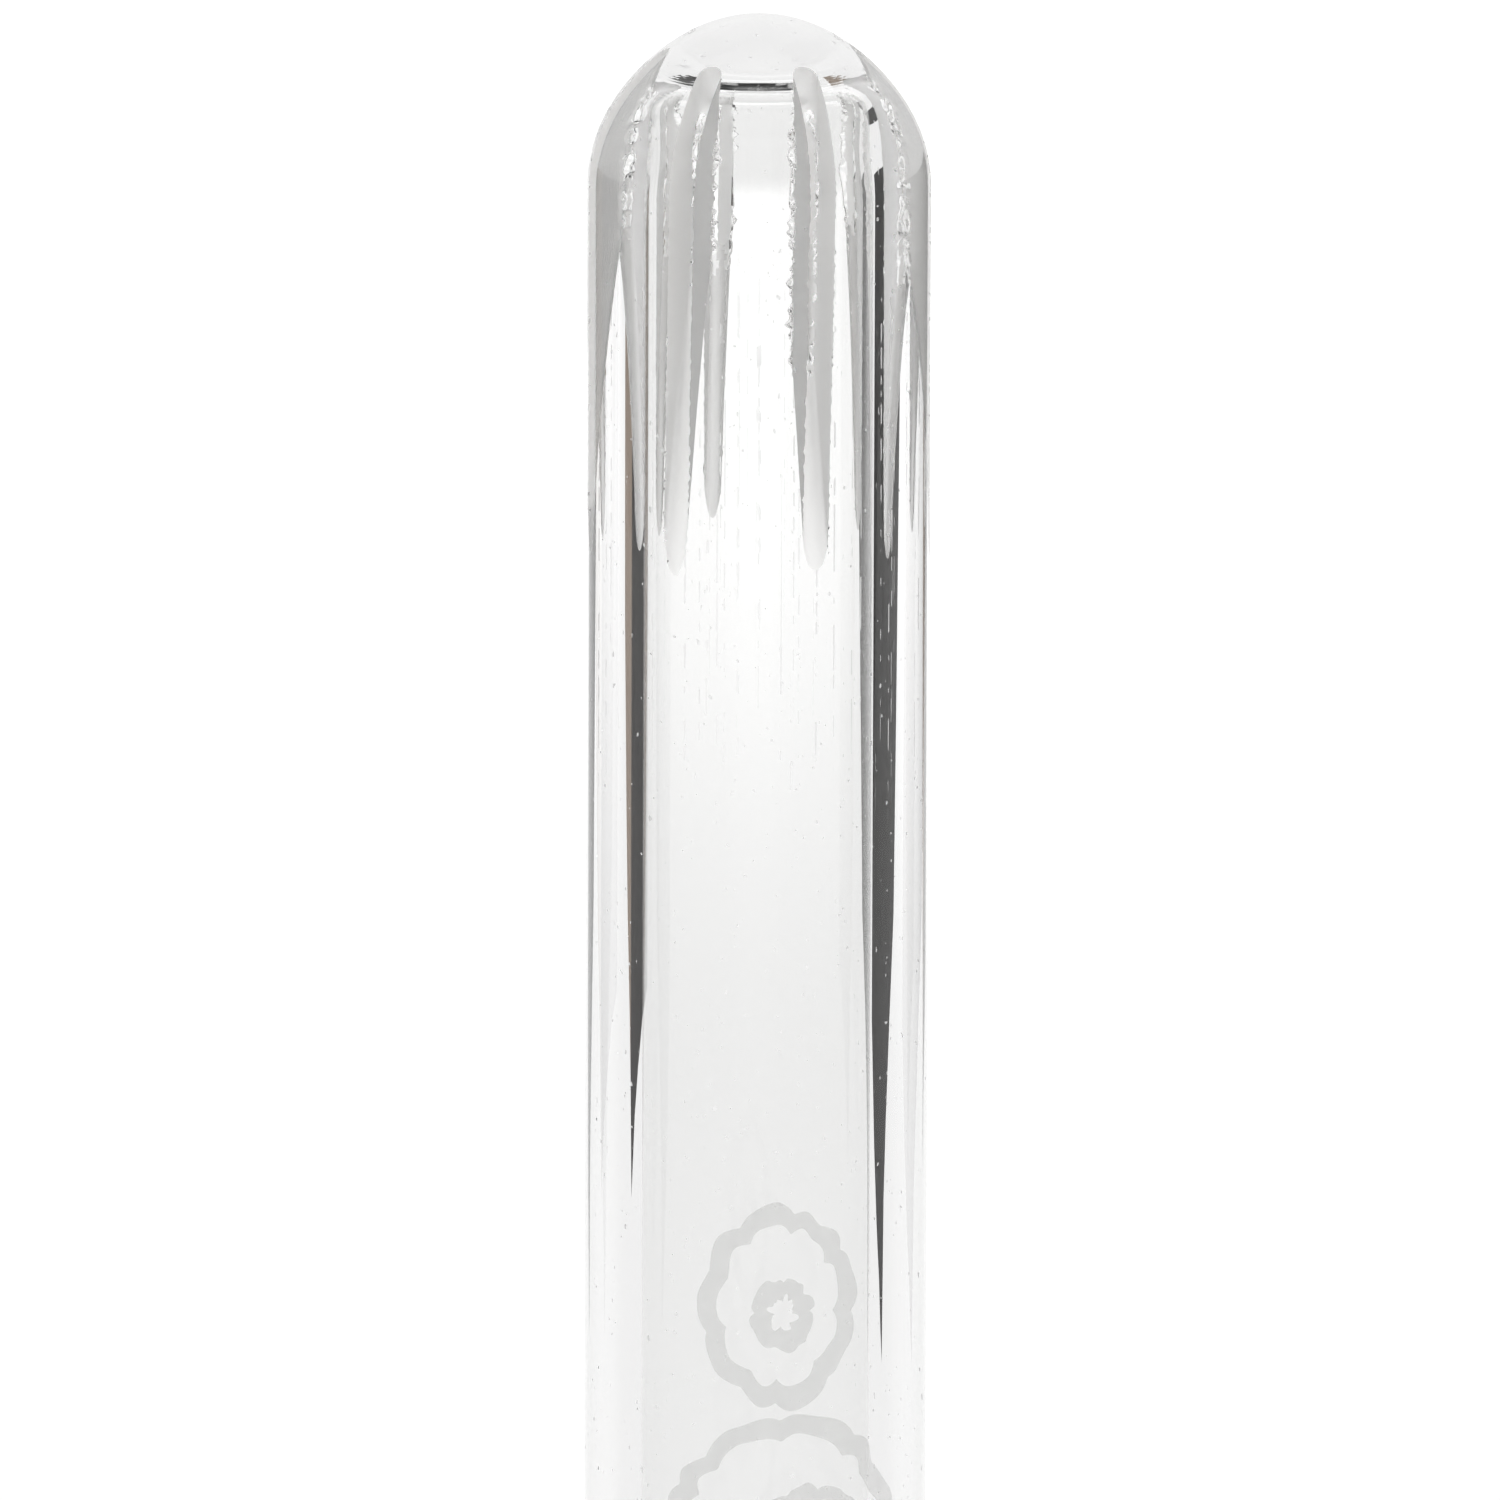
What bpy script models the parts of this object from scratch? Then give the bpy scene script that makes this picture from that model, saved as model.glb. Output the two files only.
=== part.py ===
"""Glass diffuser downstem, standing on the rim of its joint with the slotted dome at the top.

Origin at the centre of the rim face, +Z up towards the dome, -Y towards the front pair of slots.
Every dimension below is in millimetres; MM turns it into metres where geometry is written.
"""

import math

import bmesh
import bpy
from mathutils import Matrix, Vector

MM = 0.001

# Overall
APEX_Z = 145.0
SEGMENTS = 56

# Slotted tube: 12 x 2 mm tubing closed into a thick dome
TUBE_R = 6.0
BORE_R = 4.0
TUBE_FOOT_Z = 41.3
DOME_BASE_DROP = 6.0
DOME_SHOULDER_FLAT = 0.028
INNER_APEX_DROP = 2.35
INNER_DOME_POWER = 4.0
DOME_STEPS = 14
INNER_DOME_STEPS = 10
FOOT_EASE = 0.25

# Slots: sawn from the dome end just deeper than the bore wall, then run out to nothing at the lower tip
KERF = 0.92
RIM_ROUND = 0.35
RIM_STEPS = 4
DEPTH_BLEND = 0.25
CUT_HEIGHT = 4.5
CUT_STEPS = 16
TIP_OVERRUN = 1.2
TOP_OVERRUN = 1.0
# Azimuth from the front (-Y) towards +X, lean of the top towards +X, drop of the tip below the apex,
# the length over which the cut runs out to its tip, and its full depth
SLOTS = (
    (-27.2, 0.9, 19.05, 12.0, 2.3),
    (21.1, 1.2, 18.80, 7.7, 2.3),
    (87.0, -0.3, 19.10, 14.7, 2.9),
    (118.8, -0.5, 18.45, 12.2, 2.3),
    (154.0, 0.0, 18.60, 11.3, 2.3),
    (201.0, 0.0, 18.33, 11.0, 2.3),
    (238.7, 0.1, 18.70, 12.2, 2.3),
    (284.3, 0.4, 18.77, 15.7, 2.8),
)

# Ground joint: outside cone 18.8 mm falling 1 in 10, inside socket 14.5 mm falling 1 in 10
RIM_R = 11.25
RIM_HEIGHT = 6.0
RIM_EDGE = 1.1
RIM_EDGE_STEPS = 4
WAIST_R = 9.05
WAIST_Z = 7.4
CONE_START_R = 9.4
CONE_START_Z = 8.6
CONE_LENGTH = 26.0
TAPER = 0.05
SHOULDER_STEPS = 7
NECK_R = 6.0
NECK_START_Z = 39.6
NECK_END_Z = 41.0
SOCKET_R = 7.25
SOCKET_DEPTH = 23.0
FUNNEL_START_Z = 30.0
FUNNEL_START_R = 5.95
FUNNEL_END_Z = 39.0
FUNNEL_STEPS = 6
MOUTH_EASE = 0.4

# Weld bead round the seam between joint and tube
BEAD_Z = 41.15
BEAD_CLEARANCE = 0.3
BEAD_OUT = 1.3
BEAD_HALF_HEIGHT = 1.7
BEAD_STEPS = 8


def clear_scene():
    """Remove whatever the start-up file holds."""
    for obj in list(bpy.data.objects):
        bpy.data.objects.remove(obj, do_unlink=True)


def glass(name, colour, roughness):
    """A Principled glass of its own for one sub-part."""
    material = bpy.data.materials.new(name)
    material.use_nodes = True
    shader = material.node_tree.nodes["Principled BSDF"]
    shader.inputs["Base Color"].default_value = (*colour, 1.0)
    shader.inputs["Roughness"].default_value = roughness
    shader.inputs["Transmission Weight"].default_value = 1.0
    shader.inputs["IOR"].default_value = 1.473
    return material


def ease(start, end, share):
    """Smooth step from start to end, level at both ends."""
    return start + (end - start) * (0.5 - 0.5 * math.cos(math.pi * share))


def outer_dome():
    """Outer dome from the apex down to where the straight tube starts."""
    base = APEX_Z - DOME_BASE_DROP
    points = []
    for step in range(DOME_STEPS + 1):
        angle = 0.5 * math.pi * step / DOME_STEPS
        reach = 1.0 - DOME_SHOULDER_FLAT * math.sin(2.0 * angle) ** 2
        radius = TUBE_R * reach * math.sin(angle)
        height = base + DOME_BASE_DROP * reach * math.cos(angle)
        points.append((radius, height))
    return points


def inner_dome():
    """Inner dome, a little flatter than round, from the bore wall up to its apex."""
    base = APEX_Z - DOME_BASE_DROP
    rise = DOME_BASE_DROP - INNER_APEX_DROP
    points = []
    power = 2.0 / INNER_DOME_POWER
    for step in range(INNER_DOME_STEPS):
        angle = 0.5 * math.pi * step / INNER_DOME_STEPS
        radius = BORE_R * math.cos(angle) ** power
        points.append((radius, base + rise * math.sin(angle) ** power))
    points.append((0.0, base + rise))
    return points


def tube_profile():
    """Down the outside of the tube, across its foot and up the bore."""
    foot = [
        (TUBE_R, TUBE_FOOT_Z + FOOT_EASE),
        (TUBE_R - FOOT_EASE, TUBE_FOOT_Z),
        (BORE_R, TUBE_FOOT_Z),
    ]
    return outer_dome() + foot + inner_dome()


def rim_profile():
    """Rounded rim from the waist of the joint down to the flat it stands on."""
    points = [(WAIST_R, WAIST_Z)]
    for step in range(RIM_EDGE_STEPS + 1):
        angle = 0.5 * math.pi * step / RIM_EDGE_STEPS
        radius = RIM_R - RIM_EDGE + RIM_EDGE * math.sin(angle)
        height = RIM_HEIGHT - RIM_EDGE + RIM_EDGE * math.cos(angle)
        points.append((radius, height))
    for step in range(RIM_EDGE_STEPS + 1):
        angle = 0.5 * math.pi * step / RIM_EDGE_STEPS
        radius = RIM_R - RIM_EDGE + RIM_EDGE * math.cos(angle)
        height = RIM_EDGE - RIM_EDGE * math.sin(angle)
        points.append((radius, height))
    return points


def shoulder_profile():
    """Neck and shoulder down to the small end of the ground cone."""
    cone_end_z = CONE_START_Z + CONE_LENGTH
    cone_end_r = CONE_START_R - TAPER * CONE_LENGTH
    points = [(NECK_R, NECK_END_Z)]
    for step in range(SHOULDER_STEPS + 1):
        share = step / SHOULDER_STEPS
        height = NECK_START_Z + (cone_end_z - NECK_START_Z) * share
        points.append((ease(NECK_R, cone_end_r, share), height))
    return points


def socket_profile():
    """Up the socket and through the funnel to the bore."""
    socket_end_r = SOCKET_R - TAPER * SOCKET_DEPTH
    points = [(SOCKET_R + MOUTH_EASE, 0.0), (SOCKET_R, MOUTH_EASE)]
    points.append((socket_end_r, SOCKET_DEPTH))
    for step in range(FUNNEL_STEPS + 1):
        share = step / FUNNEL_STEPS
        height = FUNNEL_START_Z + (FUNNEL_END_Z - FUNNEL_START_Z) * share
        points.append((ease(FUNNEL_START_R, BORE_R, share), height))
    points.append((BORE_R, NECK_END_Z))
    return points


def joint_profile():
    """Closed section of the joint, down the outside and up the inside."""
    cone_start = [(CONE_START_R, CONE_START_Z)]
    outside = shoulder_profile() + cone_start + rim_profile()
    return outside + socket_profile()


def bead_profile():
    """Closed section of the weld bead: flat towards the glass, round outside."""
    inner_r = TUBE_R + BEAD_CLEARANCE
    points = []
    for step in range(BEAD_STEPS + 1):
        angle = math.pi * step / BEAD_STEPS
        radius = inner_r + BEAD_OUT * math.sin(angle)
        points.append((radius, BEAD_Z + BEAD_HALF_HEIGHT * math.cos(angle)))
    return points


def profile_object(name, points, closed):
    """A mesh of edges at +X, in metres, ready to be turned."""
    mesh = bpy.data.meshes.new(name)
    vertices = [(radius * MM, 0.0, height * MM) for radius, height in points]
    edges = [(i, i + 1) for i in range(len(points) - 1)]
    if closed:
        edges.append((len(points) - 1, 0))
    mesh.from_pydata(vertices, edges, [])
    obj = bpy.data.objects.new(name, mesh)
    bpy.context.scene.collection.objects.link(obj)
    return obj


def turn(obj, steps):
    """Turn the profile about Z into a closed body."""
    screw = obj.modifiers.new("turn", "SCREW")
    screw.axis = "Z"
    screw.angle = 2.0 * math.pi
    screw.steps = steps
    screw.render_steps = steps
    screw.use_merge_vertices = True
    screw.merge_threshold = 0.000001
    screw.use_smooth_shade = True
    return screw


def turned_part(name, points, closed, material):
    """One named sub-part turned from its section."""
    obj = profile_object(name, points, closed)
    turn(obj, SEGMENTS)
    obj.data.materials.append(material)
    return obj


def saw_path(drop, run_out, full):
    """(radius, height) of a slot's floor from below its tip to above the dome."""
    low = APEX_Z - drop - TIP_OVERRUN
    high = APEX_Z + TOP_OVERRUN
    path = []
    for step in range(CUT_STEPS + 1):
        height = low + (high - low) * step / CUT_STEPS
        rise = (height - APEX_Z + drop) * full / run_out
        blend = math.hypot(rise - full, DEPTH_BLEND)
        depth = 0.5 * (rise + full - blend)
        path.append((TUBE_R - depth, height))
    return path


def saw_section():
    """(height above the floor, offset across the cut) round the section: up one side and down the other."""
    side = []
    for step in range(RIM_STEPS + 1):
        angle = 0.5 * math.pi * step / RIM_STEPS
        height = RIM_ROUND * (1.0 - math.cos(angle))
        side.append((height, 0.5 * KERF * math.sin(angle)))
    side.append((CUT_HEIGHT, 0.5 * KERF))
    return side + [(height, -across) for height, across in reversed(side[1:])]


def saw_cut(index, azimuth, lean, drop, run_out, full):
    """Closed solid that one slot takes away, in its place on the tube."""
    section = saw_section()
    place = cut_place(math.radians(azimuth), math.radians(lean), APEX_Z - 0.5 * drop)
    body = bmesh.new()
    rings = []
    for floor_r, height in saw_path(drop, run_out, full):
        ring = []
        for out, across in section:
            ring.append(body.verts.new(place @ Vector((across, -floor_r - out, height)) * MM))
        rings.append(ring)
    for upper, lower in zip(rings, rings[1:]):
        for k in range(len(section)):
            after = (k + 1) % len(section)
            body.faces.new((upper[k], upper[after], lower[after], lower[k]))
    body.faces.new(rings[0])
    body.faces.new(rings[-1])
    bmesh.ops.recalc_face_normals(body, faces=body.faces)
    mesh = bpy.data.meshes.new(f"cut_{index}")
    body.to_mesh(mesh)
    body.free()
    obj = bpy.data.objects.new(f"cut_{index}", mesh)
    bpy.context.scene.collection.objects.link(obj)
    obj.hide_render = True
    obj.display_type = "WIRE"
    return obj


def cut_place(around, lean, pivot_z):
    """A cut on the front of the tube leaned about the middle of its height, then turned to its azimuth."""
    pivot = Matrix.Translation((0.0, 0.0, pivot_z))
    tip = pivot @ Matrix.Rotation(lean, 4, "Y") @ pivot.inverted()
    return Matrix.Rotation(around, 4, "Z") @ tip


def cut_slots(tube):
    """Take every slot out of the closed end of the tube."""
    for index, slot in enumerate(SLOTS):
        cutter = saw_cut(index, *slot)
        cut = tube.modifiers.new(f"slot_{index}", "BOOLEAN")
        cut.operation = "DIFFERENCE"
        cut.solver = "EXACT"
        cut.object = cutter


def main():
    clear_scene()
    clear = glass("clear_glass", (1.0, 1.0, 1.0), 0.0)
    ground = glass("ground_glass", (0.93, 0.94, 0.94), 0.45)
    bead = glass("bead_glass", (0.99, 1.0, 1.0), 0.02)
    tube = turned_part("slotted_tube", tube_profile(), False, clear)
    cut_slots(tube)
    turned_part("ground_joint", joint_profile(), True, ground)
    turned_part("seal_ring", bead_profile(), True, bead)


main()
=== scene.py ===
"""Looks of the glass diffuser downstem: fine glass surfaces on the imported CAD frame, in a white studio."""

import math

import bpy
import numpy as np
from mathutils import Matrix, Vector, noise


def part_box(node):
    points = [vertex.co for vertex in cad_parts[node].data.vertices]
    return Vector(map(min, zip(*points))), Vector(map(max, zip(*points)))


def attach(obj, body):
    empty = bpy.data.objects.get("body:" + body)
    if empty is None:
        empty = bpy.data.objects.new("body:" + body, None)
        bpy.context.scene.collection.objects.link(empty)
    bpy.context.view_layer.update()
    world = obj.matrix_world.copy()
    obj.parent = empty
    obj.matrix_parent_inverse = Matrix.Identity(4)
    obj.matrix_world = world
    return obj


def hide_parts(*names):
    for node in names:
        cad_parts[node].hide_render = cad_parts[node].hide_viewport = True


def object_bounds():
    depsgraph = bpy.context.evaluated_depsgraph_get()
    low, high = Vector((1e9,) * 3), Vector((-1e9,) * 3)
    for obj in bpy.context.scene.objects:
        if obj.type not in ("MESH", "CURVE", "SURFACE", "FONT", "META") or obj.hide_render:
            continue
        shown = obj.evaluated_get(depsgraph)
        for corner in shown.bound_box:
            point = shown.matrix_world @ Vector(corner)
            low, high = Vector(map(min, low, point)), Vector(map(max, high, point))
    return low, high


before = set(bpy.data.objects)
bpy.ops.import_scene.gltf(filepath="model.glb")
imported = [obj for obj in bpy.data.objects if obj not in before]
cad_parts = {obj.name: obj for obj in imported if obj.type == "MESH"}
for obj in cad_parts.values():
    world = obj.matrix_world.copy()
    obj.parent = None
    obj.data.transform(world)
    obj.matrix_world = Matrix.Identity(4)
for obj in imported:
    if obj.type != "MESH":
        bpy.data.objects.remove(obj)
cad_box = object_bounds()

MM = 0.001
ROOT = "root"

# ---- Sizes read from the frame ----
TUBE_LOW, TUBE_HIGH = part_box("slotted_tube")
JOINT_LOW, JOINT_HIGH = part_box("ground_joint")
BEAD_LOW, BEAD_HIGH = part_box("seal_ring")
TUBE_R = 0.5 * (TUBE_HIGH.x - TUBE_LOW.x)
APEX_Z = TUBE_HIGH.z
RIM_R = 0.5 * (JOINT_HIGH.x - JOINT_LOW.x)
SEAM_Z = 0.5 * (BEAD_LOW.z + BEAD_HIGH.z)

# ---- Sizes of the glass that the boxes don't say ----
BORE_R = 4.0 * MM
DOME_BASE_Z = APEX_Z - TUBE_R
DOME_SHOULDER_FLAT = 0.028
INNER_RISE = 3.65 * MM
INNER_POWER = 4.0
KERF = 0.92 * MM
RIM_ROUND = 0.35 * MM
DEPTH_BLEND = 0.25 * MM
CUT_HEIGHT = 3.1 * MM
TIP_OVERRUN = 1.0 * MM
TOP_OVERRUN = 0.3 * MM
# Azimuth from the front towards +X and lean of the top towards +X in degrees, then in mm the drop of the
# tip below the apex, the length over which the cut runs out to its tip, and its full depth
SLOTS = (
    (-27.2, 0.9, 19.05, 12.0, 2.3),
    (21.1, 1.2, 18.80, 7.7, 2.3),
    (87.0, -0.3, 19.10, 14.7, 2.9),
    (118.8, -0.5, 18.45, 12.2, 2.3),
    (154.0, 0.0, 18.60, 11.3, 2.3),
    (201.0, 0.0, 18.33, 11.0, 2.3),
    (238.7, 0.1, 18.70, 12.2, 2.3),
    (284.3, 0.4, 18.77, 15.7, 2.8),
)
CUT_CELL = 0.07 * MM
RIM_STEPS = 8

# ---- Broken edges of the slots: sizes, and noise cells per mm ----
CHIP_DEPTH = 0.28 * MM
CHIP_REACH = 0.22 * MM
COARSE_CHIPS = 1.3
FINE_CHIPS = 3.7
EDGE_CHIP = 0.11 * MM
EDGE_REACH = 0.08 * MM
EDGE_CHIPS = 4.6
# Chipping deeper than this shows as fresh clear glass, not as ground glass
CHIP_SHOWS = 0.03 * MM
WAVER = 0.015 * MM
WAVER_GRAIN = 0.35
# Step in noise space from one cut face to the next, so that no two break alike
FACE_SHIFT = 17.0

# ---- Joint and bead, repeated from the CAD model's sections ----
RIM_HEIGHT = 6.0 * MM
RIM_EDGE = 1.1 * MM
WAIST_R = 9.05 * MM
WAIST_Z = 7.4 * MM
CONE_START_R = 9.4 * MM
CONE_START_Z = 8.6 * MM
CONE_LENGTH = 26.0 * MM
TAPER = 0.05
NECK_START_Z = 39.6 * MM
SOCKET_R = 7.25 * MM
SOCKET_DEPTH = 23.0 * MM
FUNNEL_START_Z = 30.0 * MM
FUNNEL_START_R = 5.95 * MM
FUNNEL_END_Z = 39.0 * MM
MOUTH_EASE = 0.4 * MM
# A radius inside the joint's wall, between its socket and its cone
WITHIN_WALL_R = 7.75 * MM
WELD_GAP = 0.02 * MM
BEAD_OUT = 1.6 * MM
BEAD_SAG = 0.16 * MM
SAG_GRAIN = 0.22
BEAD_THINNING = 0.03
THINNING_GRAIN = 0.3
# Fineness
JOINT_SEGMENTS = 160
SHOULDER_STEPS = 18
CONE_STEPS = 12
WAIST_STEPS = 5
RIM_EDGE_STEPS = 8
SOCKET_STEPS = 10
FUNNEL_STEPS = 16
BEAD_STEPS = 24
SHARP_ANGLE = math.radians(28.0)

# ---- Frosted ornament: outlined clouds. Each has its azimuth in degrees; in mm the drop of its centre below
# the apex, half its girth and half its height; then its number of lobes and their depth as a share ----
CLOUDS = (
    (8.0, 44.6, 2.9, 3.6, 9.0, 0.09),
    (9.0, 44.9, 1.15, 1.35, 4.0, 0.16),
    (11.0, 52.7, 4.4, 4.3, 11.0, 0.07),
    (20.0, 52.4, 1.9, 1.5, 5.0, 0.15),
    (5.0, 60.2, 3.2, 3.0, 9.0, 0.09),
)
STROKE = 0.68 * MM
PRINT_GAP = 0.008 * MM
PRINT_THICK = 0.03 * MM
# How far the hand's unrest moves the lobes, the outline and the width of the stroke
LOBE_UNREST = 2.0
OUTLINE_UNREST = 0.07
STROKE_UNREST = 0.45
CLOUD_STEPS = 240
CLOUD_ROWS = 4
CLOUD_SHARP_ANGLE = math.radians(40.0)

# ---- Fineness of the turned tube ----
FINE_SEGMENTS = 256
DOME_STEPS = 48
INNER_STEPS = 72
TUBE_RINGS = 24
FOOT_EASE = 0.2 * MM
# A face of the skin whose normal's Z is below this belongs to the foot
FOOT_TILT = -0.5
# Faces of a cut that meet with a smaller cosine than this to their mean keep their own normals
SHARP_COSINE = 0.3
TINY = 1e-12
POLE_R = 1e-9

# ---- Glass ----
GLASS_IOR = 1.473
CLEAR_TINT = (0.905, 0.905, 0.902)
CHIP_TINT = (0.97, 0.97, 0.97)
CUT_TINT = (1.0, 0.995, 0.985)
JOINT_TINT = (0.95, 0.95, 0.945)
FROST_TINTS = ((0.42, 0.42, 0.41), (0.56, 0.56, 0.55))
FROST_ALPHA = 0.21
FROST_ROUGHNESS = 0.75
# Share of light a ground face lets through; the rest is scattered back
GROUND_CLARITY = 0.65
GROUND_SPREAD = 0.12
SCRATCH_ROUGHNESS = 0.5
# Drops below the apex between which the scratches lie, and over which they fade in and out
SCRATCH_TOP = 6.0 * MM
SCRATCH_FULL_TOP = 12.0 * MM
SCRATCH_FULL_LOW = 24.0 * MM
SCRATCH_LOW = 30.0 * MM

# ---- Camera: telephoto, a little above, framing the slotted end ----
PITCH = math.radians(8.5)
ROLL = math.radians(0.18)
DISTANCE = 0.60
FRAME_WIDTH = 52.5 * MM
AIM_DROP = 25.9 * MM
AIM_SIDE = -0.25 * MM
SENSOR = 36.0
CLIP_START = 0.01
CLIP_END = 20.0

# ---- Surroundings: (sine of the angle above the horizon, strength) ----
LOW_LIGHT = (0.20, 0.94)
HIGH_LIGHT = (0.50, 1.10)

# ---- Floor: its glow is the larger of two, one close to the object and one that grows with distance ----
FLOOR_HALF = 2.6
FLOOR_GAP = 0.1 * MM
FLOOR_COLOUR = (0.86, 0.86, 0.86)
# Radius inside which the close glow is full, radius where it has gone
GLOW_CLOSE = (0.38, 0.47)
GLOW_CLOSE_STRENGTH = 0.28
# Where the far glow starts and ends growing: (distance from the object, strength)
GLOW_NEAR = (0.62, 0.07)
GLOW_FAR = (0.98, 0.30)
GLOW_BASE = 0.03
# Sideways slope, X over Y, up to which both glows are full, and where they have gone
GLOW_FULL = 0.10
GLOW_NONE = 0.95

# ---- Dark flags behind the object, in an arc about it ----
FLAG_RADIUS = 0.42
FLAG_TOP = 0.14
FLAG_ROUGHNESS = 0.9
# Lower edge of each flag: azimuth in degrees from straight behind the object towards +X, height in mm
FLAGS = {
    "flag_left_edge": (
        (-50.0, 37.0), (-48.4, 41.0), (-45.0, 47.0), (-43.0, 53.0), (-40.0, 65.0), (-39.5, 75.0),
    ),
    "flag_left": (
        (-72.0, 43.0), (-66.0, 41.0), (-60.6, 38.0), (-56.0, 35.0), (-51.6, 30.0), (-50.0, 37.0),
    ),
    "flag_right": (
        (24.0, 82.0), (27.5, 66.0), (28.8, 60.0), (32.2, 47.0), (38.2, 41.0), (43.2, 35.0), (46.4, 30.0),
        (48.4, 20.0), (50.5, 22.0), (52.7, 25.0), (56.5, 28.5), (60.0, 33.0), (64.0, 41.0),
    ),
}
FLAG_COLOURS = {
    "flag_left_edge": (0.26, 0.20, 0.155),
    "flag_left": (0.012, 0.010, 0.009),
    "flag_right": (0.012, 0.011, 0.010),
}


# ---------------------------------------------------------------- materials
def node_material(name):
    """A new material, its tree and its Principled shader."""
    material = bpy.data.materials.new(name)
    material.use_nodes = True
    tree = material.node_tree
    return material, tree, tree.nodes["Principled BSDF"]


def linked(tree, kind, **sockets):
    """A new node of a kind with the given inputs linked."""
    node = tree.nodes.new(kind)
    for name, socket in sockets.items():
        tree.links.new(socket, node.inputs[name])
    return node


def object_place(tree):
    """Socket with the place in object space."""
    return tree.nodes.new("ShaderNodeTexCoord").outputs["Object"]


def axis(tree, place, name):
    """One axis of a place."""
    return linked(tree, "ShaderNodeSeparateXYZ", Vector=place).outputs[name]


def maths(tree, operation, *operands):
    """Result of a math node on numbers and sockets."""
    node = tree.nodes.new("ShaderNodeMath")
    node.operation = operation
    for entry, operand in zip(node.inputs, operands):
        if isinstance(operand, float):
            entry.default_value = operand
        else:
            tree.links.new(operand, entry)
    return node.outputs["Value"]


def ramp(tree, value, start, end, low=0.0, high=1.0, kind="SMOOTHSTEP"):
    """low where the value is below start, high where it is above end."""
    node = linked(tree, "ShaderNodeMapRange", Value=value)
    node.interpolation_type = kind
    node.inputs["From Min"].default_value = start
    node.inputs["From Max"].default_value = end
    node.inputs["To Min"].default_value = low
    node.inputs["To Max"].default_value = high
    return node.outputs["Result"]


def stretched_noise(tree, scale, stretch, detail):
    """Noise in object space, drawn out along Z by stretch."""
    mapping = linked(tree, "ShaderNodeMapping", Vector=object_place(tree))
    mapping.inputs["Scale"].default_value = (scale, scale, scale / stretch)
    texture = linked(tree, "ShaderNodeTexNoise", Vector=mapping.outputs["Vector"])
    texture.inputs["Scale"].default_value = 1.0
    texture.inputs["Detail"].default_value = detail
    return texture.outputs["Fac"]


def bump(tree, shader, height, distance, strength):
    """Bump on the shader from a height socket."""
    node = linked(tree, "ShaderNodeBump", Height=height)
    node.inputs["Distance"].default_value = distance
    node.inputs["Strength"].default_value = strength
    tree.links.new(node.outputs["Normal"], shader.inputs["Normal"])


def scratches(tree):
    """Broken scratches along the tube over a stretch of it, and sparse specks everywhere."""
    lines = ramp(tree, stretched_noise(tree, 6500.0, 600.0, 0.0), 0.715, 0.75)
    breaks = ramp(tree, stretched_noise(tree, 1800.0, 1.5, 1.0), 0.47, 0.56)
    specks = ramp(tree, stretched_noise(tree, 5200.0, 1.3, 0.0), 0.83, 0.85)
    height = axis(tree, object_place(tree), "Z")
    above_low = ramp(tree, height, APEX_Z - SCRATCH_LOW, APEX_Z - SCRATCH_FULL_LOW)
    below_top = ramp(tree, height, APEX_Z - SCRATCH_FULL_TOP, APEX_Z - SCRATCH_TOP, 1.0, 0.0)
    broken = maths(tree, "MULTIPLY", lines, breaks)
    stretch = maths(tree, "MULTIPLY", above_low, below_top)
    return maths(tree, "MAXIMUM", maths(tree, "MULTIPLY", broken, stretch), specks)


def clear_glass(name, tint, worn):
    """Fire-polished borosilicate with faint drawn lines along it, scratched where it is worn."""
    material, tree, shader = node_material(name)
    shader.inputs["Base Color"].default_value = (*tint, 1.0)
    shader.inputs["Roughness"].default_value = 0.0
    shader.inputs["Transmission Weight"].default_value = 1.0
    shader.inputs["IOR"].default_value = GLASS_IOR
    if worn:
        rough = ramp(tree, scratches(tree), 0.0, 1.0, 0.0, SCRATCH_ROUGHNESS, "LINEAR")
        tree.links.new(rough, shader.inputs["Roughness"])
    bump(tree, shader, stretched_noise(tree, 1800.0, 150.0, 1.0), 0.002 * MM, 0.25)
    return material


def frosted_print(name):
    """Thin fired frosting, mostly see-through and a little cloudy."""
    material, tree, shader = node_material(name)
    cloudy = stretched_noise(tree, 1500.0, 1.0, 3.0)
    mix = linked(tree, "ShaderNodeMix", Factor=cloudy)
    mix.data_type = "RGBA"
    for entry, tint in zip(("A", "B"), FROST_TINTS):
        mix.inputs[entry].default_value = (*tint, 1.0)
    tree.links.new(mix.outputs["Result"], shader.inputs["Base Color"])
    shader.inputs["Roughness"].default_value = FROST_ROUGHNESS
    shader.inputs["Alpha"].default_value = FROST_ALPHA
    bump(tree, shader, stretched_noise(tree, 12000.0, 1.0, 2.0), 0.01 * MM, 0.4)
    return material


def ground_glass(name, tint, roughness, grain):
    """Diamond-ground glass: rough, with a fine uneven grain."""
    material, tree, shader = node_material(name)
    shader.inputs["Base Color"].default_value = (*tint, 1.0)
    shader.inputs["Transmission Weight"].default_value = GROUND_CLARITY
    shader.inputs["IOR"].default_value = GLASS_IOR
    patches = stretched_noise(tree, grain, 1.0, 3.0)
    least, most = roughness - GROUND_SPREAD, roughness + GROUND_SPREAD
    tree.links.new(ramp(tree, patches, 0.0, 1.0, least, most, "LINEAR"), shader.inputs["Roughness"])
    bump(tree, shader, stretched_noise(tree, grain * 2.5, 1.0, 4.0), 0.03 * MM, 0.5)
    return material


# ---------------------------------------------------------------- turned bodies
def dome_reach(angle):
    """Outer dome's radius at an angle from its pole, as a share of the tube's."""
    return 1.0 - DOME_SHOULDER_FLAT * math.sin(2.0 * angle) ** 2


def outer_dome():
    """(radius, height) from the pole to the start of the straight tube."""
    points = []
    for step in range(DOME_STEPS + 1):
        angle = 0.5 * math.pi * step / DOME_STEPS
        reach = TUBE_R * dome_reach(angle)
        points.append((reach * math.sin(angle), DOME_BASE_Z + reach * math.cos(angle)))
    return points


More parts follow.
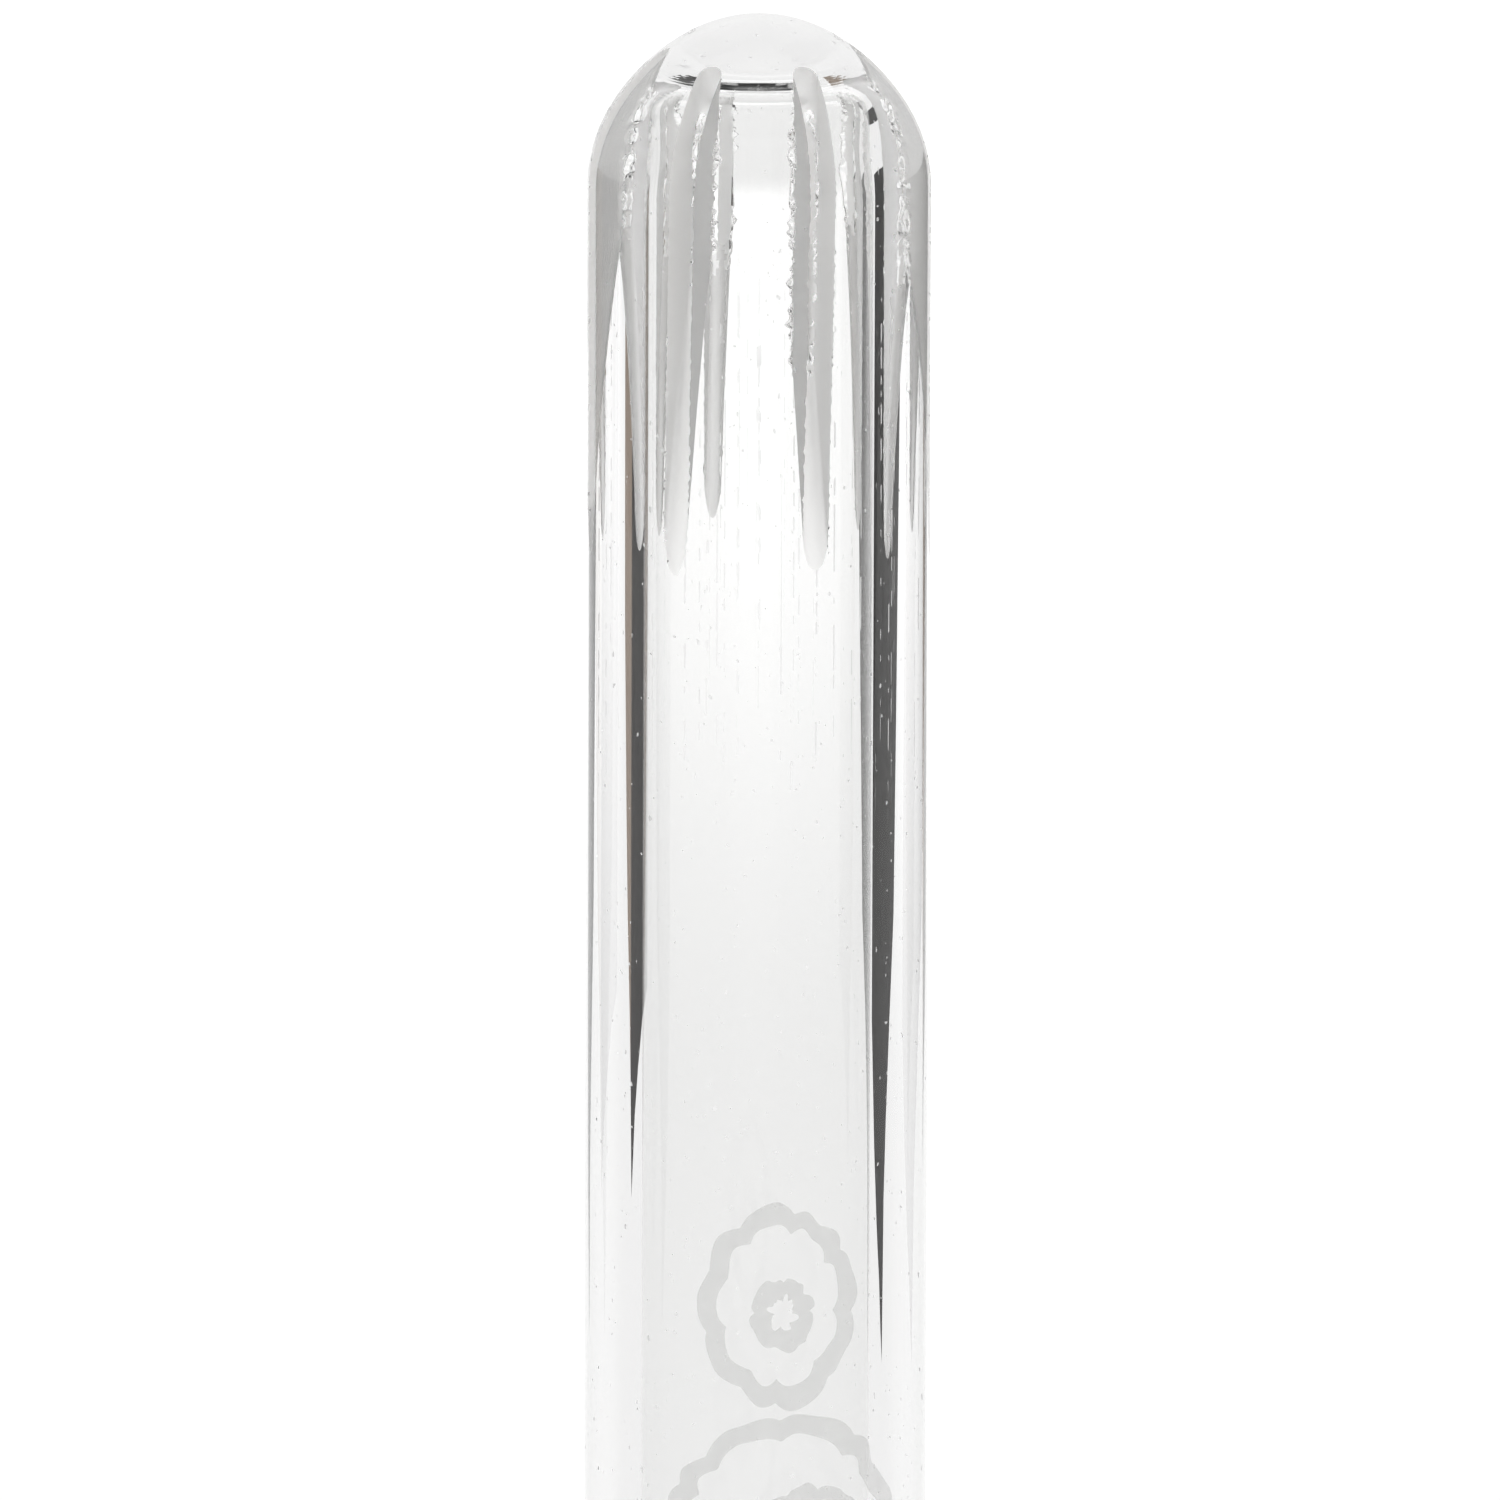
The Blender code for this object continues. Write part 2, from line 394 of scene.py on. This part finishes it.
def inner_dome():
    """(radius, height) from the bore wall to the inner pole, along a squarish dome."""
    points = []
    for step in range(INNER_STEPS):
        angle = 0.5 * math.pi * step / INNER_STEPS
        across, up = math.cos(angle), math.sin(angle)
        reach = (across ** INNER_POWER + up ** INNER_POWER) ** (-1.0 / INNER_POWER)
        points.append((BORE_R * reach * across, DOME_BASE_Z + INNER_RISE * reach * up))
    points.append((0.0, DOME_BASE_Z + INNER_RISE))
    return points


def straight(radius, start, end, rings):
    """Points strictly between two heights at one radius."""
    return [(radius, start + (end - start) * k / rings) for k in range(1, rings)]


def tube_section():
    """Down the outside of the tube, round its foot and up the bore."""
    foot_z = TUBE_LOW.z
    outside = outer_dome() + straight(TUBE_R, DOME_BASE_Z, foot_z, TUBE_RINGS)
    foot = [(TUBE_R, foot_z + FOOT_EASE), (TUBE_R - FOOT_EASE, foot_z), (BORE_R, foot_z)]
    inside = straight(BORE_R, foot_z, DOME_BASE_Z, TUBE_RINGS) + inner_dome()
    return outside + foot + inside


def lathe_mesh(name, section, segments, closed, zone_of=None):
    """Mesh turned about Z from (radius, height) points that run down the outside. A pole is one vertex."""
    vertices, rings = [], []
    for radius, height in section:
        if radius < POLE_R:
            rings.append([len(vertices)] * segments)
            vertices.append((0.0, 0.0, height))
            continue
        rings.append(range(len(vertices), len(vertices) + segments))
        for k in range(segments):
            turn = 2.0 * math.pi * k / segments
            vertices.append((radius * math.cos(turn), radius * math.sin(turn), height))
    faces = []
    pairs = list(zip(rings, rings[1:]))
    if closed:
        pairs.append((rings[-1], rings[0]))
    for upper, lower in pairs:
        for k in range(segments):
            corner = [upper[k], lower[k], lower[(k + 1) % segments], upper[(k + 1) % segments]]
            faces.append(list(dict.fromkeys(corner)))
    mesh = bpy.data.meshes.new(name)
    mesh.from_pydata(vertices, [], faces)
    mesh.polygons.foreach_set("use_smooth", [True] * len(mesh.polygons))
    if zone_of is not None:
        mesh.polygons.foreach_set("material_index", [zone_of(p.center) for p in mesh.polygons])
        mesh.set_sharp_from_angle(angle=SHARP_ANGLE)
    return mesh


def add_object(name, data):
    """Link a mesh or a camera as an object at the origin of the frame."""
    obj = bpy.data.objects.new(name, data)
    bpy.context.scene.collection.objects.link(obj)
    return obj


# ---------------------------------------------------------------- sawn slots
def wall_distance(point):
    """Distances of a point from the bore's wall and from the outside of the tube."""
    radius = math.hypot(point.x, point.y)
    rise = max(0.0, point.z - DOME_BASE_Z)
    share = (radius / BORE_R) ** INNER_POWER + (rise / INNER_RISE) ** INNER_POWER
    inner = share ** (1.0 / INNER_POWER) * BORE_R - BORE_R
    return abs(inner), abs(TUBE_R - math.hypot(radius, rise))


def face_shift(face):
    """Where in noise space a cut face lies."""
    return Vector((FACE_SHIFT * face, 0.0, 0.0))


def chipping(point, face):
    """How far a cut's face breaks out at a point: shells along the bore, a fine saw edge outside."""
    inner, outer = wall_distance(point)
    where = point / MM
    shift = face_shift(face)
    coarse = noise.noise(where * COARSE_CHIPS + shift)
    fine = noise.noise(where * FINE_CHIPS + shift)
    bite = max(0.0, 0.9 * coarse + 1.1 * fine + 0.3)
    shells = CHIP_DEPTH * bite * math.exp(-((inner / CHIP_REACH) ** 2))
    teeth = max(0.0, noise.noise(where * EDGE_CHIPS - shift) + 0.08)
    return shells + EDGE_CHIP * teeth * math.exp(-((outer / EDGE_REACH) ** 2))


def waver(point, face):
    """Slow unevenness of a hand-held cut."""
    return WAVER * noise.noise(point / MM * WAVER_GRAIN + face_shift(face))


def saw_path(drop, run_out, full):
    """(radius, height) of a slot's floor from below its tip to above the dome."""
    tip = APEX_Z - drop * MM
    low, high = tip - TIP_OVERRUN, APEX_Z + TOP_OVERRUN
    count = int((high - low) / CUT_CELL)
    path = []
    for k in range(count + 1):
        height = low + (high - low) * k / count
        rise = (height - tip) * full / run_out
        depth = 0.5 * (rise + full * MM - math.hypot(rise - full * MM, DEPTH_BLEND))
        path.append((TUBE_R - depth, height))
    return path


def saw_section():
    """(height above the floor, offset across the cut, side), up one side and down the other."""
    side = []
    for k in range(RIM_STEPS + 1):
        angle = 0.5 * math.pi * k / RIM_STEPS
        side.append((RIM_ROUND * (1.0 - math.cos(angle)), 0.5 * KERF * math.sin(angle), 1.0))
    count = int((CUT_HEIGHT - RIM_ROUND) / CUT_CELL)
    for k in range(1, count + 1):
        side.append((RIM_ROUND + (CUT_HEIGHT - RIM_ROUND) * k / count, 0.5 * KERF, 1.0))
    return side + [(height, -across, -1.0) for height, across, _side in reversed(side[1:])]


def cut_place(around, lean, pivot_z):
    """A cut on the front of the tube leaned about the middle of its height, then turned to its azimuth."""
    pivot = Matrix.Translation((0.0, 0.0, pivot_z))
    tip = pivot @ Matrix.Rotation(lean, 4, "Y") @ pivot.inverted()
    return Matrix.Rotation(around, 4, "Z") @ tip


def saw_cut(index, azimuth, lean, drop, run_out, full):
    """Closed solid of one slot, with its broken edges. Faces of material 1 are fresh chips."""
    place = cut_place(math.radians(azimuth), math.radians(lean), APEX_Z - 0.5 * drop * MM)
    spin = place.to_3x3()
    section = saw_section()
    path = saw_path(drop, run_out, full)
    vertices, chips = [], []
    for floor_r, height in path:
        for out, across, side in section:
            point = place @ Vector((across, -floor_r - out, height))
            face = side + 3.0 * index
            share = min(1.0, abs(across) / (0.5 * KERF))
            chip = share * chipping(point, face)
            moved = side * (chip + share * waver(point, face))
            vertices.append(tuple(point + spin @ Vector((moved, 0.0, 0.0))))
            chips.append(chip)
    size = len(section)
    faces, kinds = [], []
    for k in range(len(path) - 1):
        for j in range(size):
            a, b = k * size + j, k * size + (j + 1) % size
            faces.append((a, b, b + size, a + size))
            kinds.append(int(chips[a] + chips[b + size] > 2.0 * CHIP_SHOWS))
    faces.append(tuple(reversed(range(size))))
    faces.append(tuple(range((len(path) - 1) * size, len(path) * size)))
    mesh = bpy.data.meshes.new(f"cut_{index}")
    mesh.from_pydata(vertices, [], faces)
    mesh.polygons.foreach_set("material_index", kinds + [0, 0])
    return mesh


def vertex_places(mesh):
    """All vertices as rows of a numpy array."""
    co = np.empty(len(mesh.vertices) * 3)
    mesh.vertices.foreach_get("co", co)
    return co.reshape(-1, 3)


def make_outward(mesh):
    """Turn every face outwards when the mesh's volume comes out negative."""
    mesh.calc_loop_triangles()
    corners = np.empty(len(mesh.loop_triangles) * 3, int)
    mesh.loop_triangles.foreach_get("vertices", corners)
    a, b, c = vertex_places(mesh)[corners.reshape(-1, 3)].transpose(1, 0, 2)
    if np.einsum("ij,ij->i", a, np.cross(b, c)).sum() < 0.0:
        mesh.flip_normals()


def cut_away(body, cutters):
    """Cut each solid out of the body, keeping the cutters' material on the cut faces, and apply it."""
    for cutter in cutters:
        cut = body.modifiers.new(cutter.name, "BOOLEAN")
        cut.operation = "DIFFERENCE"
        cut.solver = "EXACT"
        cut.material_mode = "TRANSFER"
        cut.object = cutter
    graph = bpy.context.evaluated_depsgraph_get()
    mesh = bpy.data.meshes.new_from_object(body.evaluated_get(graph))
    body.modifiers.clear()
    body.data = mesh
    for cutter in cutters:
        bpy.data.objects.remove(cutter)


# ---------------------------------------------------------------- exact normals
def skin_normals(co, inside):
    """Normals of the turned skin at points, outward from the glass: of the bore where inside is true."""
    radius = np.hypot(co[:, 0], co[:, 1])
    rise = np.maximum(co[:, 2] - DOME_BASE_Z, 0.0)
    # Outside: the dome's polar radius changes with the angle, which leans the normal on its shoulder
    tilt = np.where(rise > 0.0, np.arctan2(radius, np.maximum(rise, TINY)), 0.5 * np.pi)
    reach = 1.0 - DOME_SHOULDER_FLAT * np.sin(2.0 * tilt) ** 2
    slope = -2.0 * DOME_SHOULDER_FLAT * np.sin(4.0 * tilt) / reach
    lean = tilt - np.arctan(slope)
    # Inside: gradient of the flattened dome
    bore_r = (radius / BORE_R) ** (INNER_POWER - 1.0) / BORE_R
    bore_z = (rise / INNER_RISE) ** (INNER_POWER - 1.0) / INNER_RISE
    flat_r = np.where(inside, -bore_r, np.sin(lean))
    flat_z = np.where(inside, -bore_z, np.cos(lean))
    flat_z = np.where(rise > 0.0, flat_z, 0.0)
    length = np.maximum(np.hypot(flat_r, flat_z), TINY)
    unit = 1.0 / np.maximum(radius, POLE_R)
    turned = [co[:, 0] * unit * flat_r, co[:, 1] * unit * flat_r, flat_z]
    return np.stack(turned, 1) / length[:, None]


def face_arrays(mesh):
    """Loop vertices, loop faces, face normals and areas, and face materials as numpy arrays."""
    loops, faces = len(mesh.loops), len(mesh.polygons)
    vertex = np.empty(loops, int)
    mesh.loops.foreach_get("vertex_index", vertex)
    totals = np.empty(faces, int)
    mesh.polygons.foreach_get("loop_total", totals)
    normal = np.empty(faces * 3)
    mesh.polygons.foreach_get("normal", normal)
    area = np.empty(faces)
    mesh.polygons.foreach_get("area", area)
    kind = np.empty(faces, int)
    mesh.polygons.foreach_get("material_index", kind)
    return vertex, np.repeat(np.arange(faces), totals), normal.reshape(-1, 3), area, kind


def set_tube_normals(mesh):
    """Exact normals on the turned skin, averaged ones on the cut faces, and a hard edge between the two."""
    vertex, face, normal, area, kind = face_arrays(mesh)
    co = vertex_places(mesh)[vertex]
    flat = normal[face]
    skin = kind[face] == 0
    rise = np.maximum(co[:, 2] - DOME_BASE_Z, 0.0)
    inside = (co[:, :2] * flat[:, :2]).sum(1) + rise * flat[:, 2] < 0.0
    foot = flat[:, 2] < FOOT_TILT
    exact = skin_normals(co, inside)
    summed = np.zeros((len(mesh.vertices), 3))
    np.add.at(summed, vertex[~skin], flat[~skin] * area[face[~skin]][:, None])
    rough = summed[vertex]
    rough /= np.maximum(np.linalg.norm(rough, axis=1), TINY)[:, None]
    rough = np.where((rough * flat).sum(1)[:, None] > SHARP_COSINE, rough, flat)
    chosen = np.where((skin & ~foot)[:, None], exact, np.where(skin[:, None], flat, rough))
    mesh.polygons.foreach_set("use_smooth", [True] * len(mesh.polygons))
    mesh.normals_split_custom_set([tuple(n) for n in chosen])


# ---------------------------------------------------------------- pieces
def build_tube(clear, ground, chip):
    """The slotted tube."""
    tube = add_object("tube_glass", lathe_mesh("tube_glass", tube_section(), FINE_SEGMENTS, False))
    tube.data.materials.append(clear)
    cutters = []
    for index, slot in enumerate(SLOTS):
        mesh = saw_cut(index, *slot)
        make_outward(mesh)
        mesh.materials.append(ground)
        mesh.materials.append(chip)
        cutters.append(add_object(f"cut_{index}", mesh))
    cut_away(tube, cutters)
    set_tube_normals(tube.data)
    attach(tube, ROOT)
    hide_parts("slotted_tube")


def ease(start, end, share):
    """Smooth step from start to end, level at both ends."""
    return start + (end - start) * (0.5 - 0.5 * math.cos(math.pi * share))


def arc(centre_r, centre_z, radius, start, end, steps):
    """Points on an arc of the section, angles in degrees from straight out towards up."""
    points = []
    for k in range(steps + 1):
        angle = math.radians(start + (end - start) * k / steps)
        points.append((centre_r + radius * math.cos(angle), centre_z + radius * math.sin(angle)))
    return points


def slope(start, end, steps, curve):
    """Points from one (radius, height) to another, the radius following curve."""
    points = []
    for k in range(steps + 1):
        share = k / steps
        points.append((curve(start[0], end[0], share), start[1] + (end[1] - start[1]) * share))
    return points


def straight_line(start, end, share):
    """Even step from start to end."""
    return start + (end - start) * share


def joint_section():
    """Closed section of the joint: shoulder, ground cone, waist, rim, then up the socket and the funnel."""
    cone_end = (CONE_START_R - TAPER * CONE_LENGTH, CONE_START_Z + CONE_LENGTH)
    socket_end = (SOCKET_R - TAPER * SOCKET_DEPTH, SOCKET_DEPTH)
    neck_top = TUBE_LOW.z - WELD_GAP
    edge_r = RIM_R - RIM_EDGE
    points = [(TUBE_R, neck_top)] + slope((TUBE_R, NECK_START_Z), cone_end, SHOULDER_STEPS, ease)
    points += slope(cone_end, (CONE_START_R, CONE_START_Z), CONE_STEPS, straight_line)[1:]
    points += slope((CONE_START_R, CONE_START_Z), (WAIST_R, WAIST_Z), WAIST_STEPS, ease)[1:]
    points += arc(edge_r, RIM_HEIGHT - RIM_EDGE, RIM_EDGE, 90.0, 0.0, RIM_EDGE_STEPS)
    points += arc(edge_r, RIM_EDGE, RIM_EDGE, 0.0, -90.0, RIM_EDGE_STEPS)
    points += [(SOCKET_R + MOUTH_EASE, 0.0)]
    points += slope((SOCKET_R, MOUTH_EASE), socket_end, SOCKET_STEPS, straight_line)
    points += slope((FUNNEL_START_R, FUNNEL_START_Z), (BORE_R, FUNNEL_END_Z), FUNNEL_STEPS, ease)
    return points + [(BORE_R, neck_top)]


def joint_zone(centre):
    """1 on the ground cone and in the ground socket, 0 on polished glass."""
    radius = math.hypot(centre.x, centre.y)
    if radius > WITHIN_WALL_R:
        return int(CONE_START_Z < centre.z < CONE_START_Z + CONE_LENGTH)
    return int(MOUTH_EASE < centre.z < SOCKET_DEPTH and radius < SOCKET_R)


def build_joint(clear, ground):
    """The ground joint."""
    mesh = lathe_mesh("joint_glass", joint_section(), JOINT_SEGMENTS, True, joint_zone)
    joint = add_object("joint_glass", mesh)
    mesh.materials.append(clear)
    mesh.materials.append(ground)
    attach(joint, ROOT)
    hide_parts("ground_joint")


def build_bead(clear):
    """The weld bead, worked a little uneven by hand."""
    inner_r = TUBE_R + WELD_GAP
    half = 0.5 * (BEAD_HIGH.z - BEAD_LOW.z)
    section = [(inner_r, SEAM_Z + half)]
    for k in range(1, BEAD_STEPS):
        angle = math.pi * k / BEAD_STEPS
        section.append((inner_r + BEAD_OUT * math.sin(angle), SEAM_Z + half * math.cos(angle)))
    section.append((inner_r, SEAM_Z - half))
    mesh = lathe_mesh("weld_bead", section, JOINT_SEGMENTS, True, lambda centre: 0)
    for vertex in mesh.vertices:
        radius = math.hypot(vertex.co.x, vertex.co.y)
        out = (radius - inner_r) / BEAD_OUT
        vertex.co.z += BEAD_SAG * out * noise.noise(vertex.co / MM * SAG_GRAIN)
        thin = noise.noise(vertex.co / MM * THINNING_GRAIN + Vector((9.0, 0.0, 0.0)))
        shrink = 1.0 - BEAD_THINNING * out * (1.0 + thin)
        vertex.co.x *= shrink
        vertex.co.y *= shrink
    bead = add_object("weld_bead", mesh)
    mesh.materials.append(clear)
    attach(bead, ROOT)
    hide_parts("seal_ring")


def on_tube(across, height, lift):
    """A point wrapped on the tube: a way along its girth from the front, a height, a lift off the glass."""
    around = across / TUBE_R
    radius = TUBE_R + lift
    return (radius * math.sin(around), -radius * math.cos(around), height)


def cloud_print(name, cloud, frost):
    """One frosted cloud outline: a thin closed band wrapped on the tube."""
    azimuth, drop, girth, tall, lobes, depth = cloud
    centre = math.radians(azimuth) * TUBE_R
    middle = APEX_Z - drop * MM
    vertices = []
    for k in range(CLOUD_STEPS):
        turn = 2.0 * math.pi * k / CLOUD_STEPS
        direction = Vector((math.cos(turn), math.sin(turn), 0.0))
        unrest = noise.noise(direction * 2.2 + Vector((azimuth, drop, 0.0)))
        scallop = abs(math.sin(0.5 * lobes * turn + LOBE_UNREST * unrest))
        reach = 1.0 - depth + depth * scallop + OUTLINE_UNREST * unrest
        stroke = STROKE * (1.0 + STROKE_UNREST * unrest)
        for lift in (PRINT_GAP, PRINT_GAP + PRINT_THICK):
            for row in range(CLOUD_ROWS + 1):
                inset = stroke * row / CLOUD_ROWS
                across = centre + (girth * MM * reach - inset) * direction.x
                height = middle + (tall * MM * reach - inset) * direction.y
                vertices.append(on_tube(across, height, lift))
    width = CLOUD_ROWS + 1
    size = 2 * width
    loop = list(range(width)) + list(reversed(range(width, size)))
    faces = []
    for k in range(CLOUD_STEPS):
        here, after = k * size, (k + 1) % CLOUD_STEPS * size
        for a, b in zip(loop, loop[1:] + loop[:1]):
            faces.append((here + a, here + b, after + b, after + a))
    mesh = bpy.data.meshes.new(name)
    mesh.from_pydata(vertices, [], faces)
    make_outward(mesh)
    mesh.polygons.foreach_set("use_smooth", [True] * len(mesh.polygons))
    mesh.set_sharp_from_angle(angle=CLOUD_SHARP_ANGLE)
    mesh.materials.append(frost)
    outline = add_object(name, mesh)
    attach(outline, ROOT)


# ---------------------------------------------------------------- studio
def white_world():
    """White surroundings, a little dimmer near the horizon than overhead."""
    world = bpy.data.worlds.new("studio")
    world.use_nodes = True
    tree = world.node_tree
    back = tree.nodes["Background"]
    direction = tree.nodes.new("ShaderNodeTexCoord").outputs["Generated"]
    height = axis(tree, direction, "Z")
    light = ramp(tree, height, LOW_LIGHT[0], HIGH_LIGHT[0], LOW_LIGHT[1], HIGH_LIGHT[1])
    tree.links.new(light, back.inputs["Strength"])
    back.inputs["Color"].default_value = (1.0, 1.0, 1.0, 1.0)
    bpy.context.scene.world = world


def matt_material(name, colour, roughness):
    """Even matt stage material, its tree and its shader."""
    material, tree, shader = node_material(name)
    shader.inputs["Base Color"].default_value = (*colour, 1.0)
    shader.inputs["Roughness"].default_value = roughness
    shader.inputs["Specular IOR Level"].default_value = 0.0
    return material, tree, shader


def floor_material():
    """Pale floor with a painted glow: emission brighter before and behind the object, and hardly at its
    sides.
    """
    material, tree, shader = matt_material("floor_painted_glow", FLOOR_COLOUR, 1.0)
    place = object_place(tree)
    length = tree.nodes.new("ShaderNodeVectorMath")
    length.operation = "LENGTH"
    tree.links.new(place, length.inputs[0])
    reach = length.outputs["Value"]
    far = ramp(tree, reach, GLOW_NEAR[0], GLOW_FAR[0], GLOW_NEAR[1], GLOW_FAR[1])
    close = ramp(tree, reach, GLOW_CLOSE[0], GLOW_CLOSE[1], GLOW_CLOSE_STRENGTH, 0.0)
    aside = maths(tree, "ABSOLUTE", maths(tree, "DIVIDE", axis(tree, place, "X"), axis(tree, place, "Y")))
    fade = ramp(tree, aside, GLOW_FULL, GLOW_NONE, 1.0, 0.0)
    glow = maths(tree, "MULTIPLY", maths(tree, "MAXIMUM", close, far), fade)
    # Painted glow: the floor emits light though it is no lamp, more near the object and far off before and
    # behind it, plus a faint glow everywhere
    tree.links.new(maths(tree, "ADD", glow, GLOW_BASE), shader.inputs["Emission Strength"])
    shader.inputs["Emission Color"].default_value = (1.0, 1.0, 1.0, 1.0)
    return material


def add_floor():
    """Pale floor under the rim."""
    corners = [(x * FLOOR_HALF, y * FLOOR_HALF, 0.0) for x, y in ((-1, -1), (1, -1), (1, 1), (-1, 1))]
    mesh = bpy.data.meshes.new("floor")
    mesh.from_pydata(corners, [], [(0, 1, 2, 3)])
    floor = add_object("floor", mesh)
    floor.location.z = cad_box[0].z - FLOOR_GAP
    floor.data.materials.append(floor_material())


def add_flag(name, edge, colour):
    """Dark card in an arc behind the object, seen only by reflection and through the glass."""
    vertices, faces = [], []
    for degrees, low in edge:
        around = math.radians(degrees)
        x, y = FLAG_RADIUS * math.sin(around), FLAG_RADIUS * math.cos(around)
        vertices += [(x, y, low * MM), (x, y, FLAG_TOP)]
    for k in range(len(edge) - 1):
        faces.append((2 * k, 2 * k + 2, 2 * k + 3, 2 * k + 1))
    mesh = bpy.data.meshes.new(name)
    mesh.from_pydata(vertices, [], faces)
    flag = add_object(name, mesh)
    flag.data.materials.append(matt_material(name, colour, FLAG_ROUGHNESS)[0])
    flag.visible_camera = False
    flag.visible_shadow = False
    flag.visible_diffuse = False


def add_camera():
    """Telephoto camera in front, looking a little down on the slotted end."""
    data = bpy.data.cameras.new("camera")
    data.sensor_width = SENSOR
    data.lens = SENSOR * DISTANCE / FRAME_WIDTH
    data.clip_start = CLIP_START
    data.clip_end = CLIP_END
    camera = add_object("camera", data)
    aim = Vector((AIM_SIDE, 0.0, APEX_Z - AIM_DROP))
    back = Vector((0.0, -math.cos(PITCH), math.sin(PITCH)))
    camera.location = aim + back * DISTANCE
    camera.rotation_mode = "QUATERNION"
    look = (-back).to_track_quat("-Z", "Y")
    camera.rotation_quaternion = look @ Matrix.Rotation(ROLL, 3, "Z").to_quaternion()
    bpy.context.scene.camera = camera


def set_colours_and_bounces():
    """Colours as they are, and enough bounces to see through the slotted wall twice."""
    scene = bpy.context.scene
    scene.view_settings.view_transform = "Standard"
    scene.cycles.max_bounces = 24
    scene.cycles.transmission_bounces = 20
    scene.cycles.glossy_bounces = 12


tube_clear = clear_glass("tube_clear", CLEAR_TINT, True)
plain_clear = clear_glass("plain_clear", CLEAR_TINT, False)
cut_ground = ground_glass("cut_ground", CUT_TINT, 0.58, 9000.0)
chip_clear = clear_glass("chip_clear", CHIP_TINT, False)
joint_ground = ground_glass("joint_ground", JOINT_TINT, 0.42, 7000.0)
frost = frosted_print("frosted_print")

build_tube(tube_clear, cut_ground, chip_clear)
build_joint(plain_clear, joint_ground)
build_bead(plain_clear)
for index, cloud in enumerate(CLOUDS):
    cloud_print(f"cloud_{index}", cloud, frost)

white_world()
add_floor()
for name, edge in FLAGS.items():
    add_flag(name, edge, FLAG_COLOURS[name])
add_camera()
set_colours_and_bounces()
